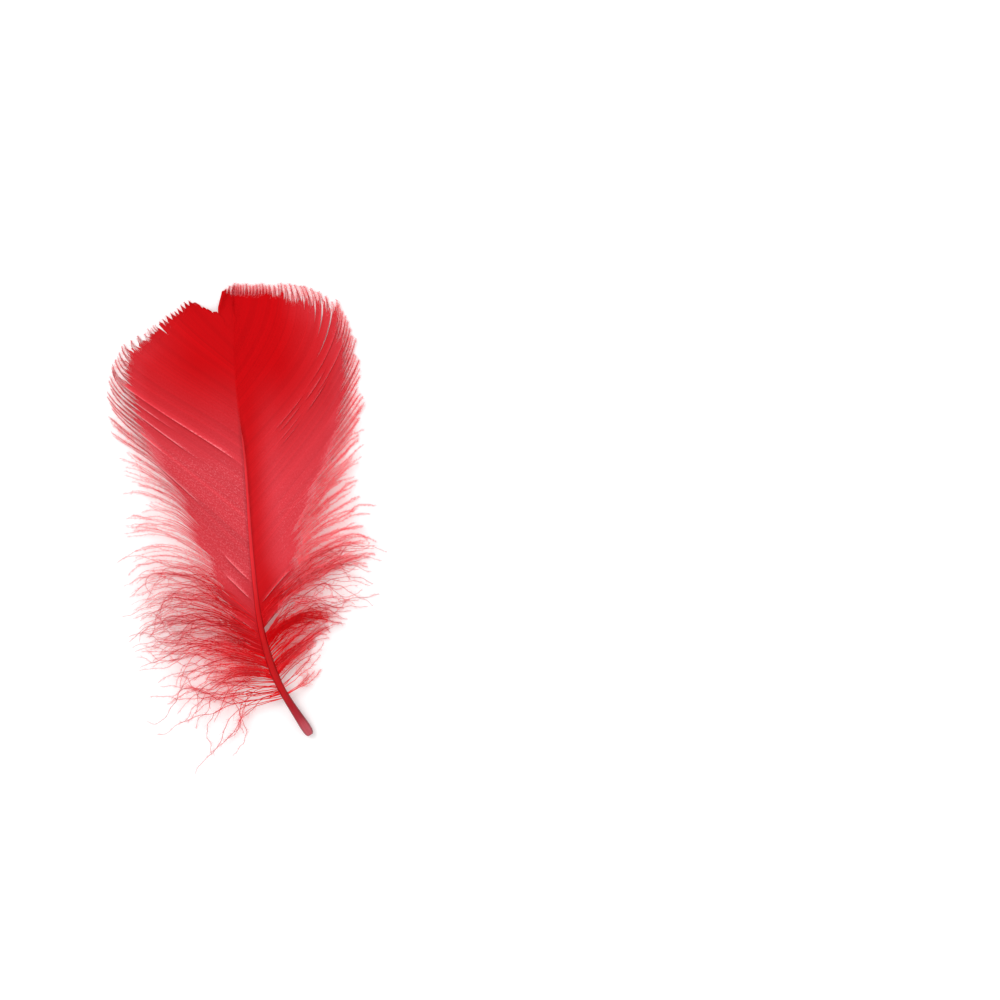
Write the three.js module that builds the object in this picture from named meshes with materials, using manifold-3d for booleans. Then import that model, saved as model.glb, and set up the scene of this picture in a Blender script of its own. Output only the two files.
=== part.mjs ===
// A goose body feather, dyed red, lying dome side up on a flat surface.
// Millimetres, +Z up. The quill points to -Y, the tip to +Y, and the origin is under the middle.
// The shaft carries two vanes of webbed barbs, and below them two tufts of loose down.
// A lock is a bundle of neighbouring barbs that lie together.
import * as THREE from "three";
import { mergeVertices } from "three/addons/utils/BufferGeometryUtils.js";
import Module from "manifold-3d";

const wasm = await Module();
wasm.setup();

// Centre line of the shaft, from the cut quill end to the tip
const SHAFT_LINE = new THREE.CatmullRomCurve3(
  [
    new THREE.Vector3(13.6, -46.7, 0.97),
    new THREE.Vector3(7.2, -34.5, 2.7),
    new THREE.Vector3(3.7, -23.3, 4.2),
    new THREE.Vector3(1.8, -8.1, 5.7),
    new THREE.Vector3(0.2, 13.7, 6.1),
    new THREE.Vector3(-1.9, 31.1, 4.5),
    new THREE.Vector3(-2.6, 49.5, 1.0),
  ],
  false,
  "centripetal",
);
const SHAFT_LENGTH = SHAFT_LINE.getLength();

// Shaft radius by distance from the quill end: a flared bare quill, then a rachis that thins to the tip
const SHAFT_RADII = [
  [0.0, 0.85],
  [1.0, 1.1],
  [3.0, 1.15],
  [7.0, 0.9],
  [12.0, 0.8],
  [16.0, 0.88],
  [22.0, 0.8],
  [32.0, 0.6],
  [45.0, 0.45],
  [60.0, 0.35],
  [75.0, 0.24],
  [SHAFT_LENGTH - 0.6, 0.12],
];
const SHAFT_SIDES = 12;
const SHAFT_STEPS = 30;
const PIT_DEPTH = 1.2; // the little hollow in the cut end of the quill
const PIT_RADIUS = 0.5;

// Where the barbs leave the shaft, as distances from the quill end
const DOWN_FROM = 9.8;
const DOWN_TO = 26.8;
const VANE_FROM = 27.2;
const VANE_TO = 97.6;
const ROOT_GAP = 0.1; // clear space between the shaft and the barbs' roots

// Locks: how many, how much they crowd towards the quill, how thick they are along their middle and along
// their edges, and how high their tips stand, in turn
const VANE_LOCKS = { count: 22, crowd: 1.3, middle: 0.5, edge: 0.3, lift: [0] };
const DOWN_LOCKS = { count: 14, crowd: 1, middle: 1.6, edge: 0.5, lift: [0, 3.4, 1.2, 4.8, 2.2] };
const WEB_ROWS = 4;
const FREE_ROWS = 4;
const TIP_SHARE = 0.1; // of a lock's width and thickness that is left at its tip
const FLAT_FROM = 0.86; // share of a barb's length after which it lies flat on the surface
const DROOP = 1.7; // how late along a barb the camber falls away
const BARB_STEPS = 32;
const SLIVER = 0.01; // facets thinner than this are left out where locks cross

// Guide barbs, from the quill to the tip. Root is the distance from the quill end and length is along the
// barb. Leave, middle and end are headings in degrees, from +Y outwards. Web is the share of the length
// in which the barb is hooked to its neighbours.
const LEFT_GUIDES = [
  { root: 10.2, length: 24.5, leave: 100, middle: 122, end: 182, web: 0.12 },
  { root: 12.7, length: 27.0, leave: 84, middle: 104, end: 130, web: 0.12 },
  { root: 16.7, length: 31.0, leave: 74, middle: 92, end: 126, web: 0.12 },
  { root: 20.8, length: 30.5, leave: 68, middle: 82, end: 110, web: 0.14 },
  { root: 24.3, length: 34.0, leave: 56, middle: 76, end: 118, web: 0.2 },
  { root: 30.5, length: 35.0, leave: 47, middle: 66, end: 128, web: 0.42 },
  { root: 36.0, length: 41.0, leave: 50, middle: 43, end: 70, web: 0.58 },
  { root: 47.3, length: 41.0, leave: 51, middle: 50, end: 46, web: 0.7 },
  { root: 61.5, length: 36.5, leave: 53, middle: 58, end: 46, web: 0.82 },
  { root: 71.0, length: 29.2, leave: 55, middle: 59, end: 46, web: 0.88 },
  { root: 80.2, length: 20.5, leave: 53, middle: 54, end: 44, web: 0.88 },
  { root: 89.6, length: 11.4, leave: 45, middle: 46, end: 36, web: 0.82 },
  { root: 97.6, length: 3.8, leave: 12, middle: 10, end: 5, web: 0.5 },
];
const RIGHT_GUIDES = [
  { root: 10.2, length: 13.5, leave: 62, middle: 52, end: 30, web: 0.14 },
  { root: 13.9, length: 17.5, leave: 44, middle: 47, end: 42, web: 0.14 },
  { root: 18.0, length: 22.5, leave: 40, middle: 56, end: 70, web: 0.14 },
  { root: 21.9, length: 27.5, leave: 34, middle: 64, end: 98, web: 0.14 },
  { root: 24.9, length: 28.0, leave: 38, middle: 54, end: 86, web: 0.18 },
  { root: 30.3, length: 33.0, leave: 38, middle: 56, end: 102, web: 0.36 },
  { root: 34.7, length: 35.0, leave: 40, middle: 44, end: 78, web: 0.48 },
  { root: 40.8, length: 37.0, leave: 39, middle: 40, end: 48, web: 0.62 },
  { root: 48.4, length: 41.0, leave: 39, middle: 37, end: 27, web: 0.78 },
  { root: 56.0, length: 42.0, leave: 39, middle: 35, end: 16, web: 0.84 },
  { root: 63.7, length: 39.5, leave: 40, middle: 35, end: 2, web: 0.87 },
  { root: 71.2, length: 34.0, leave: 40, middle: 32, end: -32, web: 0.88 },
  { root: 77.0, length: 26.5, leave: 37, middle: 25, end: -8, web: 0.88 },
  { root: 88.0, length: 12.8, leave: 27, middle: 16, end: -4, web: 0.82 },
  { root: 97.6, length: 3.8, leave: 10, middle: 4, end: -5, web: 0.5 },
];

// A bite out of the tip of the left vane: its middle and half width along the shaft, and its depth
const BITE = { root: 92.6, halfWidth: 2.2, depth: 3.6 };

const LEFT = -1;
const RIGHT = 1;

// The value at x of a line through [x, value] stops.
function along(stops, x) {
  const next = stops.findIndex(([stop]) => stop >= x);
  if (next === 0) return stops[0][1];
  if (next === -1) return stops[stops.length - 1][1];
  const [x0, y0] = stops[next - 1];
  const [x1, y1] = stops[next];
  return THREE.MathUtils.mapLinear(x, x0, x1, y0, y1);
}

const shaftRadius = (distance) => along(SHAFT_RADII, distance);

// A place on the shaft: the point on its centre line, its direction, and the ways right and up from it.
function shaftFrame(distance) {
  const share = THREE.MathUtils.clamp(distance / SHAFT_LENGTH, 0, 1);
  const point = SHAFT_LINE.getPointAt(share);
  const forward = SHAFT_LINE.getTangentAt(share);
  const right = new THREE.Vector3(0, 0, 1).cross(forward).negate().normalize();
  const up = new THREE.Vector3().crossVectors(right, forward);
  return { point, forward, right, up };
}

// A closed geometry with its shared corners merged.
function closed(geometry) {
  geometry.deleteAttribute("normal");
  geometry.deleteAttribute("uv");
  return mergeVertices(geometry, 1e-5);
}

// Moves every vertex of a geometry to place(vertex).
function reshape(geometry, place) {
  const position = geometry.getAttribute("position");
  const vertex = new THREE.Vector3();
  for (let i = 0; i < position.count; i++) {
    const moved = place(vertex.fromBufferAttribute(position, i));
    position.setXYZ(i, moved.x, moved.y, moved.z);
  }
  return geometry;
}

// The quill and rachis: a turned profile bent along the shaft's centre line.
function shaftGeometry() {
  const profile = [new THREE.Vector2(0, PIT_DEPTH), new THREE.Vector2(PIT_RADIUS, 0)];
  for (let step = 0; step <= SHAFT_STEPS; step++) {
    const share = step / SHAFT_STEPS;
    const distance = Math.pow(share, 1.3) * (SHAFT_LENGTH - 0.6);
    profile.push(new THREE.Vector2(shaftRadius(distance), distance));
  }
  profile.push(new THREE.Vector2(0, SHAFT_LENGTH));
  return reshape(closed(new THREE.LatheGeometry(profile, SHAFT_SIDES)), ({ x, y, z }) => {
    const { point, right, up } = shaftFrame(y);
    return point.addScaledVector(right, x).addScaledVector(up, z);
  });
}

// The guide values of a barb that leaves the shaft at root.
function barbAt(guides, side, root) {
  const value = (name) => along(guides.map((guide) => [guide.root, guide[name]]), root);
  const bitten = side === LEFT ? Math.max(0, 1 - Math.abs(root - BITE.root) / BITE.halfWidth) : 0;
  return {
    length: value("length") - BITE.depth * bitten,
    leave: value("leave"),
    middle: value("middle"),
    end: value("end"),
    web: value("web"),
  };
}

// A barb's heading at a share of its length, on the parabola through its three guide headings.
function heading({ leave, middle, end }, share) {
  const first = leave * (2 * share - 1) * (share - 1);
  const second = middle * 4 * share * (1 - share);
  const third = end * share * (2 * share - 1);
  return THREE.MathUtils.degToRad(first + second + third);
}

// The place on the underside of a barb at a share of its length, before any lift.
function barbPoint(guides, side, root, share) {
  const barb = barbAt(guides, side, root);
  const { point, right } = shaftFrame(root);
  const place = point.clone().addScaledVector(right, side * (shaftRadius(root) + ROOT_GAP));
  const step = (barb.length * share) / BARB_STEPS;
  for (let i = 0; i < BARB_STEPS; i++) {
    const angle = heading(barb, (share * (i + 0.5)) / BARB_STEPS);
    place.x += side * step * Math.sin(angle);
    place.y += step * Math.cos(angle);
  }
  place.z = share < FLAT_FROM ? point.z * (1 - Math.pow(share / FLAT_FROM, DROOP)) : 0;
  return place;
}

// One lock, as a box bent along its barbs: x runs across it, y along it and z through its thickness.
// Its sides are those of its neighbours as far as the web goes, and then close in to its own tip.
function lockGeometry(guides, side, from, to, kind, lift) {
  const rows = WEB_ROWS + FREE_ROWS;
  const middleRoot = (from + to) / 2;
  return reshape(closed(new THREE.BoxGeometry(1, 1, 1, 2, rows, 1)), ({ x, y, z }) => {
    const row = Math.round((y + 0.5) * rows);
    const free = Math.max(0, (row - WEB_ROWS) / FREE_ROWS);
    const width = THREE.MathUtils.lerp(1, TIP_SHARE, free);
    const root = middleRoot - side * x * (to - from) * width;
    const { web } = barbAt(guides, side, root);
    const share = row <= WEB_ROWS ? (web * row) / WEB_ROWS : web + (1 - web) * free;
    const place = barbPoint(guides, side, root, share);
    const edge = Math.abs(x) * 2;
    const thickness = THREE.MathUtils.lerp(kind.middle, kind.edge, edge) * Math.max(width, 0.4);
    const sunk = Math.min(place.z, thickness / 2);
    place.z += (z + 0.5) * thickness - sunk + lift * free;
    return place;
  });
}

// A solid from a closed geometry, for joining.
function solid(geometry) {
  return new wasm.Manifold(
    new wasm.Mesh({
      numProp: 3,
      vertProperties: new Float32Array(geometry.getAttribute("position").array),
      triVerts: new Uint32Array(geometry.getIndex().array),
    }),
  );
}

// All the locks that leave one side of the shaft between two distances, joined in one geometry.
function locksGeometry(guides, side, from, to, kind) {
  const parting = (i) => from + (to - from) * Math.pow(i / kind.count, kind.crowd);
  const locks = Array.from({ length: kind.count }, (_, i) => {
    const lift = kind.lift[i % kind.lift.length];
    return solid(lockGeometry(guides, side, parting(i), parting(i + 1), kind, lift));
  });
  const joined = locks.reduce((sum, lock) => sum.add(lock)).simplify(SLIVER);
  const { vertProperties, triVerts } = joined.getMesh();
  const geometry = new THREE.BufferGeometry();
  geometry.setAttribute("position", new THREE.BufferAttribute(vertProperties, 3));
  geometry.setIndex(new THREE.BufferAttribute(triVerts, 1));
  return geometry;
}

const HORN = new THREE.MeshStandardMaterial({ color: 0xb01420, roughness: 0.35, metalness: 0 });
const WEB = new THREE.MeshStandardMaterial({ color: 0xc4121a, roughness: 0.7, metalness: 0 });
const DOWN = new THREE.MeshStandardMaterial({ color: 0xd83a44, roughness: 0.9, metalness: 0 });

function named(name, geometry, material) {
  geometry.computeVertexNormals();
  const mesh = new THREE.Mesh(geometry, material);
  mesh.name = name;
  return mesh;
}

const feather = new THREE.Group();
feather.add(
  named("shaft", shaftGeometry(), HORN),
  named("left_vane", locksGeometry(LEFT_GUIDES, LEFT, VANE_FROM, VANE_TO, VANE_LOCKS), WEB),
  named("right_vane", locksGeometry(RIGHT_GUIDES, RIGHT, VANE_FROM, VANE_TO, VANE_LOCKS), WEB),
  named("left_down", locksGeometry(LEFT_GUIDES, LEFT, DOWN_FROM, DOWN_TO, DOWN_LOCKS), DOWN),
  named("right_down", locksGeometry(RIGHT_GUIDES, RIGHT, DOWN_FROM, DOWN_TO, DOWN_LOCKS), DOWN),
);

export default feather;
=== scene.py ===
"""A dyed goose feather lying on a white sheet: a horn shaft, two webbed vanes and two tufts of down.

Sizes are millimetres in the part's own frame, with the quill towards -Y and the tip towards +Y.
Meshes are written in metres. A root is a barb's distance along the shaft from the quill end, and every
barb is set out from its root by the guide barbs of its side.
"""

from __future__ import annotations

import logging
import math
from dataclasses import astuple, dataclass, field
from enum import Enum
from functools import partial
from typing import ClassVar

import bmesh
import bpy
import numpy as np
from mathutils import Matrix, Vector

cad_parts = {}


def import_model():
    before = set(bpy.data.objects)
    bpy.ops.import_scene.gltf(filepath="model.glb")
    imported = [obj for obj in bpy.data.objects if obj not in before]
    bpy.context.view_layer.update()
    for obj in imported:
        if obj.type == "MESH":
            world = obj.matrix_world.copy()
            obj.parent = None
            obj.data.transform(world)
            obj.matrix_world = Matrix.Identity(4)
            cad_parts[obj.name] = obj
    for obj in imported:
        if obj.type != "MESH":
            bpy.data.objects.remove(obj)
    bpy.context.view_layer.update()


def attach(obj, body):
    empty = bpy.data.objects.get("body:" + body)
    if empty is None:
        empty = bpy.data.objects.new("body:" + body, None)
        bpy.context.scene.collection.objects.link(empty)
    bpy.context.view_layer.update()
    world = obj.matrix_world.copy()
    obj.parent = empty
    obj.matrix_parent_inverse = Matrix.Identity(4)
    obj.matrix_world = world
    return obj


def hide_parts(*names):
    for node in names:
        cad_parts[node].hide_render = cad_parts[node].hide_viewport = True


LOG = logging.getLogger("feather")
MM = 0.001
TINY = 1e-12
UP = np.array((0.0, 0.0, 1.0))
NEARLY_UP = UP + 1e-3

Array = np.ndarray
Span = tuple[float, float]


class Side(Enum):
    """The side of the shaft that barbs grow on, with its sign along X."""

    LEFT = -1
    RIGHT = 1


def linear(code: str) -> tuple[float, float, float, float]:
    """Turns an sRGB hex colour into linear red, green, blue and alpha.

    Args:
        code: Six hex digits.

    Returns:
        The linear colour with an alpha of 1.
    """
    parts = [int(code[i : i + 2], 16) / 255 for i in (0, 2, 4)]
    lit = [c / 12.92 if c <= 0.04045 else ((c + 0.055) / 1.055) ** 2.4 for c in parts]
    return (lit[0], lit[1], lit[2], 1.0)


def ease(low: float | Array, high: float | Array, value: float | Array) -> Array:
    """Rises smoothly from 0 at low to 1 at high.

    Args:
        low: Where the rise starts.
        high: Where it ends, which may be below low.
        value: What is measured.

    Returns:
        The eased share.
    """
    share = np.clip((np.asarray(value) - low) / (np.asarray(high) - low), 0.0, 1.0)
    return share * share * (3.0 - 2.0 * share)


def unit(vectors: Array) -> Array:
    """Gives vectors a length of 1."""
    return vectors / (np.linalg.norm(vectors, axis=-1, keepdims=True) + TINY)


def beside(way: Array, up: Array = UP) -> tuple[Array, Array]:
    """Gives the directions to the right of strands and above them.

    Args:
        way: Unit directions along the strands.
        up: The direction that is taken as up.

    Returns:
        Unit directions to the right, and those square to both.
    """
    right = unit(np.cross(way, up))
    return right, np.cross(right, way)


def add_object(name: str, data: bpy.types.ID) -> bpy.types.Object:
    """Links a mesh, lamp or camera into the scene.

    Args:
        name: The object's name.
        data: What it holds.

    Returns:
        The new object, at the origin.
    """
    made = bpy.data.objects.new(name, data)
    bpy.context.collection.objects.link(made)
    return made


def blank_material(name: str) -> bpy.types.Material:
    """Makes a material with no nodes.

    Args:
        name: The material's name.

    Returns:
        The material.
    """
    made = bpy.data.materials.new(name)
    made.use_nodes = True
    made.node_tree.nodes.clear()
    return made


def add_node(
    tree: bpy.types.NodeTree, kind: str, inputs: dict | None = None, **settings: object
) -> bpy.types.Node:
    """Adds one shader node with its settings, and sets or links its inputs.

    Args:
        tree: The node tree.
        kind: The node's type.
        inputs: Socket name or number to a value or to another node's output.
        **settings: Attributes of the node.

    Returns:
        The new node.
    """
    made = tree.nodes.new(kind)
    for name, value in settings.items():
        setattr(made, name, value)
    for name, value in (inputs or {}).items():
        if isinstance(value, bpy.types.NodeSocket):
            tree.links.new(value, made.inputs[name])
        else:
            made.inputs[name].default_value = value
    return made


def set_ramp(made: bpy.types.Node, stops: tuple[tuple[float, str], ...]) -> None:
    """Gives a colour ramp its stops.

    Args:
        made: The ramp node.
        stops: Places from 0 to 1 with their sRGB hex colours.
    """
    elements = made.color_ramp.elements
    while len(elements) < len(stops):
        elements.new(1.0)
    for element, (place, code) in zip(elements, stops):
        element.position = place
        element.color = linear(code)


@dataclass(frozen=True)
class HornFinish:
    """Dyed keratin horn of the shaft: smooth, a little waxy, paler and clearer at the cut quill."""

    name: str = "dyed_shaft_horn"
    length_mm: float = 100.0
    streak_mm: float = 0.35
    streak_squeeze: float = 0.12
    streak_tones: Span = (0.82, 1.1)
    # Painted shade along the sides as seen from above: where it starts and how dark it gets
    side_shade_from: float = 0.55
    side_shade_tone: float = 0.5
    bump_mm: float = 0.05
    roughness: float = 0.36
    ior: float = 1.54
    coat: float = 0.08
    scatter: float = 0.12
    scatter_mm: tuple[float, float, float] = (0.6, 0.15, 0.12)
    stops: tuple[tuple[float, str], ...] = (
        (0.0, "c25a64"),
        (0.025, "be4e58"),
        (0.045, "ac2a36"),
        (0.075, "a81420"),
        (0.12, "c0040e"),
        (0.2, "c2020a"),
        (0.3, "cc040e"),
        # This brighter band is partly a painted highlight along the rachis
        (0.42, "e2242e"),
        (0.6, "e2242e"),
        (0.72, "b80812"),
        (1.0, "b80610"),
    )

    def material(self) -> bpy.types.Material:
        """Builds the material, whose dye deepens along the shaft with faint lengthways streaks.

        A brighter band round the middle is partly painted highlight, and painted shade darkens the sides.

        Returns:
            The material.
        """
        made = blank_material(self.name)
        node = partial(add_node, made.node_tree)
        along, around, edge = (
            node("ShaderNodeAttribute", attribute_name=name).outputs["Fac"]
            for name in ("along", "around", "edge")
        )
        share = node("ShaderNodeMath", {0: along, 1: self.length_mm}, operation="DIVIDE").outputs[0]
        dye_and_sheen = node("ShaderNodeValToRGB", {"Fac": share})
        set_ramp(dye_and_sheen, self.stops)
        # The fibres of horn are too fine to show, so the streaks are drawn as coarse as streak_mm
        slow = node("ShaderNodeMath", {0: along, 1: self.streak_squeeze}, operation="MULTIPLY").outputs[0]
        place = node("ShaderNodeCombineXYZ", {"X": slow, "Y": around}).outputs[0]
        scale = 1.0 / self.streak_mm
        noise = node("ShaderNodeTexNoise", {"Vector": place, "Scale": scale, "Detail": 3.0})
        streak = noise.outputs["Fac"]
        low, high = self.streak_tones
        shade = node(
            "ShaderNodeMapRange",
            {"Value": streak, "From Min": 0.3, "From Max": 0.7, "To Min": low, "To Max": high},
        )
        # Painted shade darkens the sides of the shaft, as seen from above, by the edge value
        rim = node(
            "ShaderNodeMapRange",
            {"Value": edge, "From Min": self.side_shade_from, "To Min": 1.0, "To Max": self.side_shade_tone},
        )
        depth = node(
            "ShaderNodeMath",
            {0: shade.outputs["Result"], 1: rim.outputs["Result"]},
            operation="MULTIPLY",
        )
        colour = node(
            "ShaderNodeVectorMath",
            {0: dye_and_sheen.outputs["Color"], 1: depth.outputs[0]},
            operation="MULTIPLY",
        )
        bump = node("ShaderNodeBump", {"Height": streak, "Strength": 0.25, "Distance": self.bump_mm * MM})
        shader = node(
            "ShaderNodeBsdfPrincipled",
            {
                "Base Color": colour.outputs["Vector"],
                "Normal": bump.outputs["Normal"],
                "Roughness": self.roughness,
                "IOR": self.ior,
                "Specular IOR Level": 0.12,
                "Coat Weight": self.coat,
                "Coat Roughness": 0.16,
                "Subsurface Weight": self.scatter,
                "Subsurface Radius": tuple(reach * MM for reach in self.scatter_mm),
            },
        )
        node("ShaderNodeOutputMaterial", {"Surface": shader.outputs["BSDF"]})
        return made


@dataclass(frozen=True)
class BarbFinish:
    """Dyed barbs: deep crimson where the barbules are dense, rosy where light comes through them."""

    name: str
    deep: str
    rosy: str
    pale: str
    grain_mm: float
    grain_share: float
    roughness: float
    through: float
    specular: float = 0.06
    ior: float = 1.45
    rosy_at: float = 0.75

    def material(self) -> bpy.types.Material:
        """Builds the material from the barbs' colour, tone and place values, which hold painted light too.

        Returns:
            The material.
        """
        made = blank_material(self.name)
        node = partial(add_node, made.node_tree)
        dye_and_sheen, tone, along, across = (
            node("ShaderNodeAttribute", attribute_name=name).outputs["Fac"] for name in Strands.names
        )
        # Barbules stand a few hundredths of a millimetre apart, so the grain is as coarse as grain_mm
        place = node("ShaderNodeCombineXYZ", {"X": along, "Y": across}).outputs[0]
        scale = 1.0 / self.grain_mm
        noise = node("ShaderNodeTexNoise", {"Vector": place, "Scale": scale, "Detail": 2.0})
        grain = noise.outputs["Fac"]
        low, high = 1.0 - self.grain_share, 1.0 + self.grain_share
        swing = node(
            "ShaderNodeMapRange",
            {"Value": grain, "From Min": 0.25, "From Max": 0.75, "To Min": low, "To Max": high},
        )
        uneven = node("ShaderNodeMath", {0: swing.outputs["Result"], 1: dye_and_sheen}, operation="MULTIPLY")
        ramp = node("ShaderNodeValToRGB", {"Fac": uneven.outputs[0]})
        set_ramp(ramp, ((0.0, self.deep), (self.rosy_at, self.rosy), (1.0, self.pale)))
        toned = node("ShaderNodeVectorMath", {0: ramp.outputs["Color"], 1: tone}, operation="MULTIPLY")
        colour = toned.outputs["Vector"]
        shader = node(
            "ShaderNodeBsdfPrincipled",
            {
                "Base Color": colour,
                "Roughness": self.roughness,
                "IOR": self.ior,
                "Specular IOR Level": self.specular,
            },
        )
        glow = node("ShaderNodeBsdfTranslucent", {"Color": colour})
        mixed = node(
            "ShaderNodeMixShader",
            {"Fac": self.through, 1: shader.outputs["BSDF"], 2: glow.outputs["BSDF"]},
        )
        node("ShaderNodeOutputMaterial", {"Surface": mixed.outputs["Shader"]})
        return made


@dataclass(frozen=True)
class SheetFinish:
    """Opal white sheet of a light table: matt, even, and a little brighter than what lies on it."""

    name: str = "opal_sheet"
    colour: str = "f6f5f5"
    lamp_colour: str = "ffffff"
    glow: float = 0.12
    roughness: float = 0.9
    specular: float = 0.1

    def material(self) -> bpy.types.Material:
        """Builds the matt white material, lit a little from beneath.

        Returns:
            The material.
        """
        made = blank_material(self.name)
        node = partial(add_node, made.node_tree)
        shader = node(
            "ShaderNodeBsdfPrincipled",
            {
                "Base Color": linear(self.colour),
                "Roughness": self.roughness,
                "Specular IOR Level": self.specular,
                "Emission Color": linear(self.lamp_colour),
                "Emission Strength": self.glow,
            },
        )
        node("ShaderNodeOutputMaterial", {"Surface": shader.outputs["BSDF"]})
        return made


@dataclass
class ShaftLine:
    """The shaft's centre line and thickness, which the barbs are set out from.

    Stations are points on the line. Radii are distances from the quill end with the radius there.
    """

    stations: tuple[tuple[float, float, float], ...] = (
        (14.2, -46.1, 1.06),
        (7.2, -34.5, 2.7),
        (3.7, -23.3, 4.2),
        (1.8, -8.1, 5.7),
        (0.2, 13.7, 6.1),
        (-1.9, 31.1, 4.5),
        (-2.6, 49.5, 1.0),
    )
    radii: tuple[Span, ...] = (
        (0.0, 0.66),
        (0.3, 0.88),
        (1.0, 1.03),
        (2.2, 1.1),
        (4.0, 1.02),
        (7.0, 0.9),
        (12.0, 0.8),
        (16.0, 0.88),
        (22.0, 0.8),
        (32.0, 0.6),
        (45.0, 0.45),
        (60.0, 0.35),
        (75.0, 0.24),
        (98.0, 0.12),
    )
    samples: int = 160
    sight: float = 0.5
    points: Array = field(init=False)
    lengths: Array = field(init=False)

    def __post_init__(self) -> None:
        """Samples the centripetal curve through the stations."""
        given = np.array(self.stations)
        full = np.vstack([2 * given[0] - given[1], given, 2 * given[-1] - given[-2]])
        share = np.linspace(0, 1, self.samples, endpoint=False)[:, None]
        spans = [self._span(full[i : i + 4], share) for i in range(len(given) - 1)]
        self.points = np.vstack([*spans, given[-1:]])
        steps = np.linalg.norm(np.diff(self.points, axis=0), axis=1)
        self.lengths = np.concatenate([[0.0], np.cumsum(steps)])

    @staticmethod
    def _span(p: Array, share: Array) -> Array:
        """Gives one span of the curve.

        Args:
            p: The four points around the span.
            share: Shares along it, as a column.

        Returns:
            Points on the span.
        """
        gaps = np.sqrt(np.linalg.norm(np.diff(p, axis=0), axis=1))
        start = (p[1] - p[0]) / gaps[0] - (p[2] - p[0]) / (gaps[0] + gaps[1]) + (p[2] - p[1]) / gaps[1]
        end = (p[2] - p[1]) / gaps[1] - (p[3] - p[1]) / (gaps[1] + gaps[2]) + (p[3] - p[2]) / gaps[2]
        start, end = start * gaps[1], end * gaps[1]
        square, cube = share**2, share**3
        return (
            (2 * cube - 3 * square + 1) * p[1]
            + (cube - 2 * square + share) * start
            + (3 * square - 2 * cube) * p[2]
            + (cube - square) * end
        )

    @property
    def length(self) -> float:
        """The shaft's length along its curve."""
        return float(self.lengths[-1])

    def point(self, distance: Array) -> Array:
        """Gives points on the centre line at distances from the quill end."""
        return np.stack([np.interp(distance, self.lengths, column) for column in self.points.T], axis=-1)

    def forward(self, distance: Array) -> Array:
        """Gives the direction towards the tip, between points a little before and after.

        Args:
            distance: Distances from the quill end.

        Returns:
            Unit directions.
        """
        low = self.point(np.clip(np.asarray(distance) - self.sight, 0, self.length - 2 * self.sight))
        high = self.point(np.clip(np.asarray(distance) + self.sight, 2 * self.sight, self.length))
        return unit(high - low)

    def right(self, distance: Array) -> Array:
        """Gives the level unit direction to the shaft's right."""
        return beside(self.forward(distance))[0]

    def radius(self, distance: Array) -> Array:
        """Gives the shaft's radius at distances from the quill end."""
        return np.interp(distance, *np.array(self.radii).T)


@dataclass(frozen=True)
class GuideBarb:
    """One measured barb: its root, its length, three headings along it, and its webbed share."""

    root: float
    length: float
    leave: float
    middle: float
    end: float
    web: float


LEFT_GUIDES = (
    GuideBarb(10.2, 30.0, 112, 98, 90, 0.12),
    GuideBarb(12.7, 32.5, 92, 92, 100, 0.12),
    GuideBarb(13.7, 17.0, 88, 92, 104, 0.12),
    GuideBarb(16.0, 18.0, 77, 90, 112, 0.12),
    GuideBarb(17.2, 32.0, 72, 86, 112, 0.12),
    GuideBarb(20.8, 31.5, 66, 82, 122, 0.14),
    GuideBarb(24.3, 34.0, 56, 74, 138, 0.2),
    GuideBarb(30.5, 35.0, 47, 64, 136, 0.42),
    GuideBarb(36.0, 38.0, 50, 46, 80, 0.6),
    GuideBarb(41.5, 39.5, 50, 47, 62, 0.65),
    GuideBarb(47.3, 42.0, 51, 50, 50, 0.687),
    GuideBarb(61.5, 38.6, 53, 58, 46, 0.78),
    GuideBarb(66.5, 34.6, 54, 59, 46, 0.865),
    GuideBarb(71.0, 31.2, 55, 59, 46, 0.915),
    GuideBarb(75.5, 26.2, 54, 57, 45, 0.935),
    GuideBarb(80.2, 21.6, 53, 54, 44, 0.92),
    GuideBarb(90.58, 12.0, 43, 40, 34, 0.9),
    GuideBarb(90.62, 10.9, 43, 21, -13, 0.95),
    GuideBarb(92.2, 9.5, 32, 15, -9, 0.82),
    GuideBarb(94.4, 7.4, 20, 8, -6, 0.68),
    GuideBarb(97.6, 4.2, 3, 1, 0, 0.4),
)
RIGHT_GUIDES = (
    GuideBarb(10.2, 9.5, 62, 52, 30, 0.14),
    GuideBarb(13.9, 14.5, 44, 45, 40, 0.14),
    GuideBarb(18.0, 18.5, 40, 54, 66, 0.14),
    GuideBarb(21.9, 29.0, 30, 68, 102, 0.14),
    GuideBarb(24.9, 30.0, 36, 58, 94, 0.18),
    GuideBarb(30.3, 33.0, 38, 56, 102, 0.36),
    GuideBarb(34.7, 35.0, 40, 44, 78, 0.48),
    GuideBarb(40.8, 37.0, 39, 40, 48, 0.62),
    GuideBarb(48.4, 41.5, 39, 37, 27, 0.785),
    GuideBarb(56.0, 43.0, 39, 35, 16, 0.845),
    GuideBarb(63.7, 40.5, 40, 35, 2, 0.875),
    GuideBarb(71.2, 35.2, 40, 32, -30, 0.886),
    GuideBarb(77.0, 27.2, 37, 25, -8, 0.9),
    GuideBarb(80.0, 23.3, 34, 23, -7, 0.9),
    GuideBarb(82.5, 20.4, 32, 21, -6, 0.87),
    GuideBarb(85.5, 17.0, 29, 18, -5, 0.835),
    GuideBarb(88.0, 14.3, 27, 16, -4, 0.8),
    GuideBarb(91.0, 11.0, 19, 11, -4, 0.735),
    GuideBarb(93.0, 8.9, 14, 8, -4, 0.68),
    GuideBarb(95.3, 6.5, 9, 5, -4, 0.58),
    GuideBarb(97.6, 4.2, 3, 1, -5, 0.4),
)


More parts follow.
